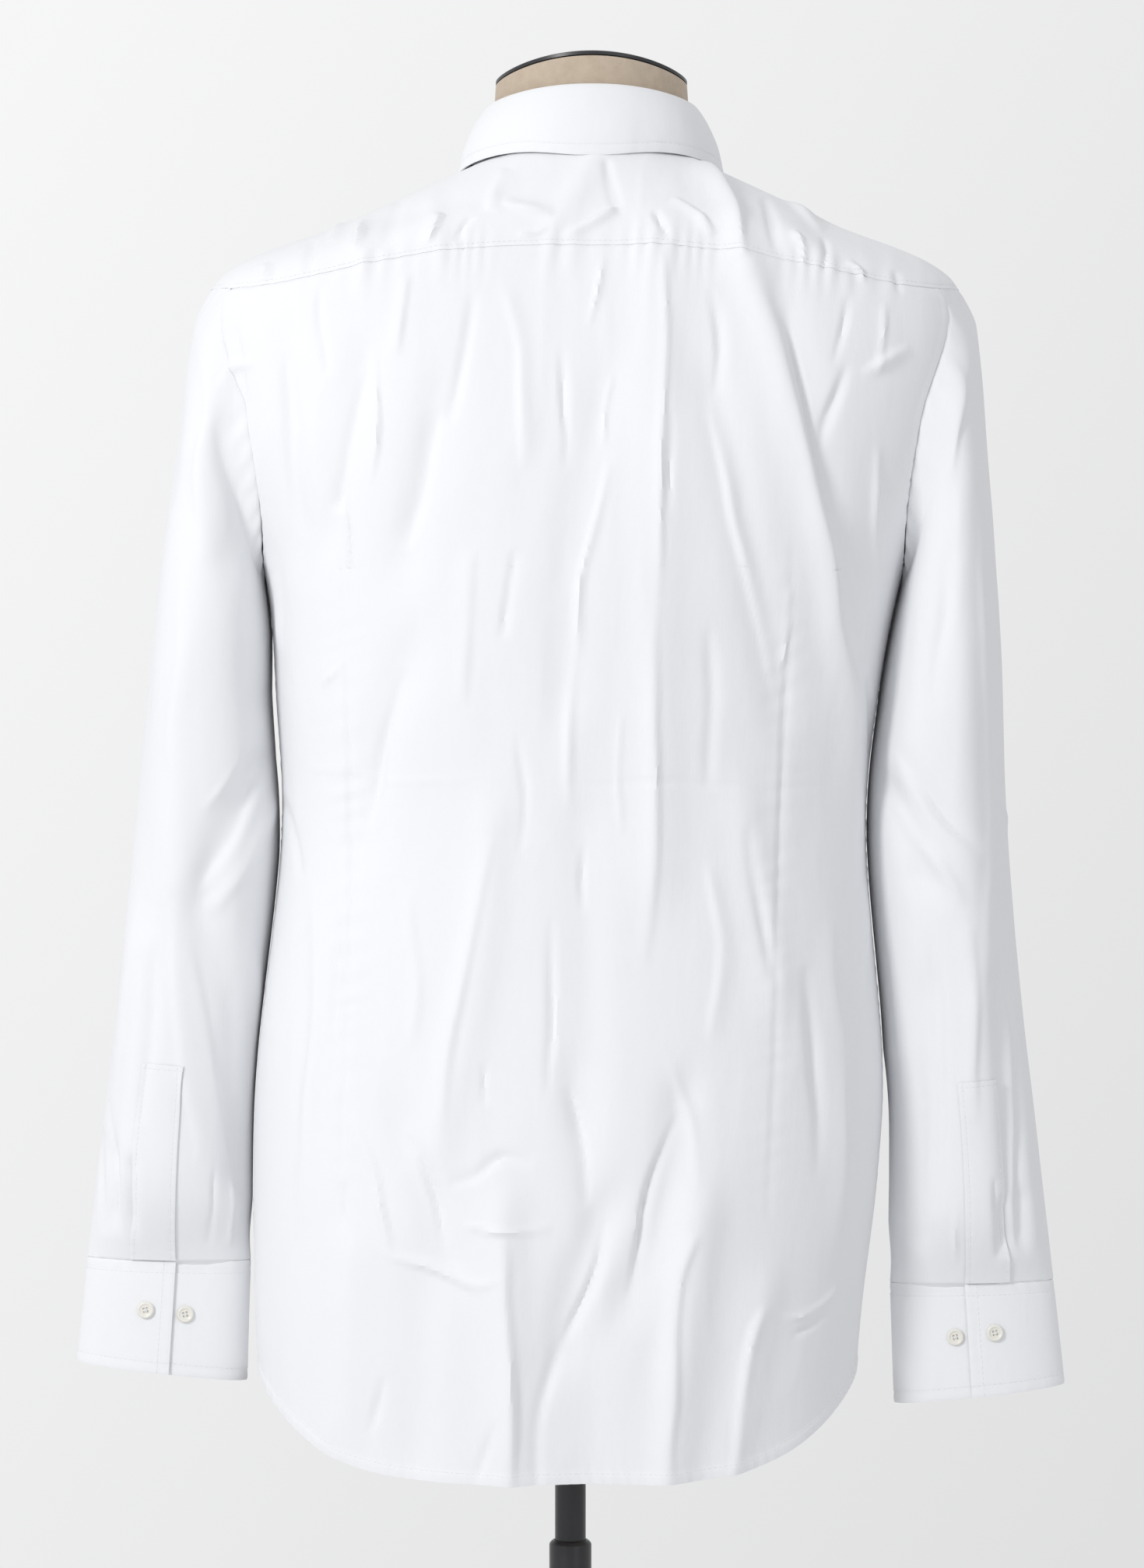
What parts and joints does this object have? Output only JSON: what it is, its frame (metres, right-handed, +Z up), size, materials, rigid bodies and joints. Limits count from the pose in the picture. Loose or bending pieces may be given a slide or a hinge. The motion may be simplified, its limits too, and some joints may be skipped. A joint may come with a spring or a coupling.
{
  "type": "long sleeve dress shirt on a limbless dress form",
  "caption": "Plain button-front shirt with yoke, long sleeves, buttoned cuffs and shirt-tail hem, hanging on a limbless dress form on a round pole and base.",
  "frame": {"origin": "on the floor under the middle of the round base, on the pole's axis", "axes": "+Z up along the pole, -Y towards the shirt's buttoned front, +X towards the wearer's left"},
  "size_m": [0.6094, 0.34, 1.5774],
  "materials": {
    "shirting": "plain fine cotton weave, white with a cool tone, soft sheen",
    "button": "pearly cream resin with a raised rim",
    "form_linen": "coarse beige linen cover, matte",
    "black_metal": "black enamel, satin",
    "steel": "plain zinc-plated steel"
  },
  "bodies": {
    "stand": {"base": "black_metal", "lower_tube": "black_metal", "clamp_collar": "black_metal"},
    "screw": {"clamp_screw": "steel"},
    "pole": {"upper_tube": "black_metal"},
    "form": {"dress_form": "form_linen", "neck_cap": "black_metal", "back": "shirting", "yoke": "shirting", "front_left": "shirting", "front_right": "shirting", "front_placket": "shirting", "collar_stand": "shirting", "collar_fall": "shirting", "sleeve_left": "shirting", "sleeve_right": "shirting", "sleeve_placket_left": "shirting", "sleeve_placket_right": "shirting", "cuff_left": "shirting", "cuff_right": "shirting", "button_1": "button", "button_2": "button", "button_3": "button", "button_4": "button", "button_5": "button", "button_6": "button", "button_collar": "button", "button_cuff_left_1": "button", "button_cuff_left_2": "button", "button_cuff_right_1": "button", "button_cuff_right_2": "button"}
  },
  "joints": [
    {"name": "height", "type": "slide", "parent": "stand", "child": "pole", "axis": [0, 0, 1], "range_m": [-0.1, 0.22]},
    {"name": "form_swivel", "type": "hinge", "parent": "pole", "child": "form", "pos_m": [0, 0, 0.8], "axis": [0, 0, 1], "continuous": true},
    {"name": "clamp_turn", "type": "hinge", "parent": "stand", "child": "screw", "pos_m": [0.02, 0, 0.642], "axis": [1, 0, 0], "continuous": true}
  ]
}
